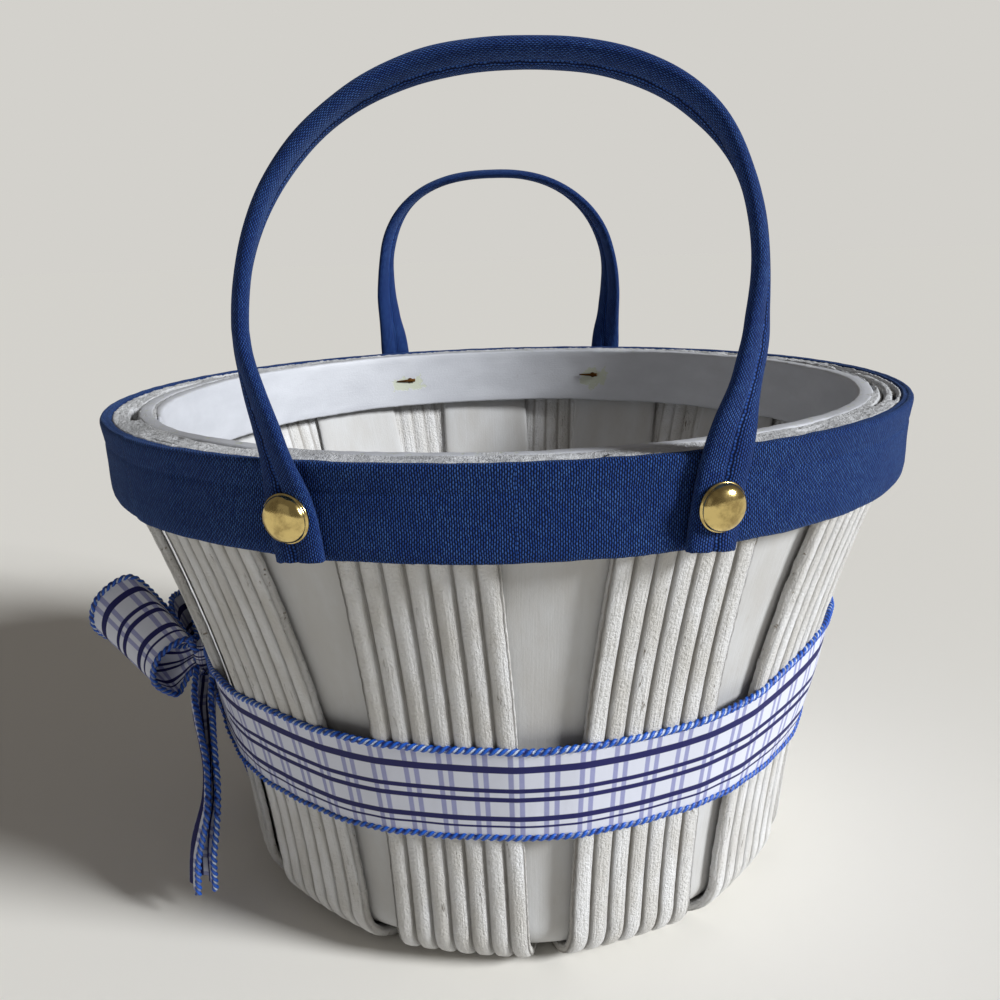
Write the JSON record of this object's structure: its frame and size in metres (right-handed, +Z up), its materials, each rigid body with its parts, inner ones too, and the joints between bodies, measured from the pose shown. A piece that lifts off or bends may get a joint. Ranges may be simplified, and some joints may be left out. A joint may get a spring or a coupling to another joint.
{
  "type": "splint basket",
  "caption": "Round painted splint basket of ribbed and smooth staves with a cloth rim, two canvas strap handles on domed nails, and a checked ribbon tied in a bow.",
  "frame": {"origin": "middle of the flat face that the basket stands on", "axes": "+Z up, -Y towards the front handle, +X to the right seen from the front; the bow is on the -X side"},
  "size_m": [0.295, 0.2809, 0.2639],
  "materials": {
    "ribbed_staves": "cool white brushed paint over ribbed splint, chipped along the ribs",
    "smooth_staves": "thin off-white paint over smooth splint",
    "inner_hoop": "bluish white paint, thick and rough along the top edge",
    "outer_hoop": "bare bent wood under the cloth",
    "rim_cloth": "blue canvas",
    "bottom_boards": "off-white paint on thin board",
    "tacks": "dull steel, some paint",
    "straps": "blue canvas strap with a middle seam",
    "brass_nails": "polished brass",
    "ribbon": "white satin with navy and lilac checks and blue corded edges"
  },
  "bodies": {
    "basket": {"ribbed_stave_01": "ribbed_staves", "ribbed_stave_02": "ribbed_staves", "ribbed_stave_03": "ribbed_staves", "ribbed_stave_04": "ribbed_staves", "ribbed_stave_05": "ribbed_staves", "ribbed_stave_06": "ribbed_staves", "ribbed_stave_07": "ribbed_staves", "ribbed_stave_08": "ribbed_staves", "ribbed_stave_09": "ribbed_staves", "ribbed_stave_10": "ribbed_staves", "ribbed_stave_11": "ribbed_staves", "ribbed_stave_12": "ribbed_staves", "smooth_stave_01": "smooth_staves", "smooth_stave_02": "smooth_staves", "smooth_stave_03": "smooth_staves", "smooth_stave_04": "smooth_staves", "smooth_stave_05": "smooth_staves", "smooth_stave_06": "smooth_staves", "smooth_stave_07": "smooth_staves", "smooth_stave_08": "smooth_staves", "smooth_stave_09": "smooth_staves", "smooth_stave_10": "smooth_staves", "smooth_stave_11": "smooth_staves", "smooth_stave_12": "smooth_staves", "inner_hoop": "inner_hoop", "outer_hoop": "outer_hoop", "rim_cloth": "rim_cloth", "base_disc": "bottom_boards", "bottom_board": "bottom_boards", "base_tack_01": "tacks", "base_tack_02": "tacks", "base_tack_03": "tacks", "base_tack_04": "tacks", "base_tack_05": "tacks", "base_tack_06": "tacks", "base_tack_07": "tacks", "base_tack_08": "tacks", "base_tack_09": "tacks", "base_tack_10": "tacks", "base_tack_11": "tacks", "base_tack_12": "tacks", "front_left_tab": "straps", "front_right_tab": "straps", "back_left_tab": "straps", "back_right_tab": "straps", "front_left_nail": "brass_nails", "front_right_nail": "brass_nails", "back_left_nail": "brass_nails", "back_right_nail": "brass_nails", "ribbon_band": "ribbon", "bow_knot": "ribbon", "front_bow_loop": "ribbon", "back_bow_loop": "ribbon", "front_bow_tail": "ribbon", "back_bow_tail": "ribbon"},
    "front_strap": {"front_handle": "straps"},
    "back_strap": {"back_handle": "straps"}
  },
  "joints": [
    {"name": "front_handle_swing", "type": "hinge", "parent": "basket", "child": "front_strap", "pos_m": [-0.00277, -0.13237, 0.178], "axis": [0.9998, -0.0209, 0], "range_deg": [-80, 90]},
    {"name": "back_handle_swing", "type": "hinge", "parent": "basket", "child": "back_strap", "pos_m": [0, 0.1324, 0.178], "axis": [-1, 0, 0], "range_deg": [-80, 90]}
  ]
}
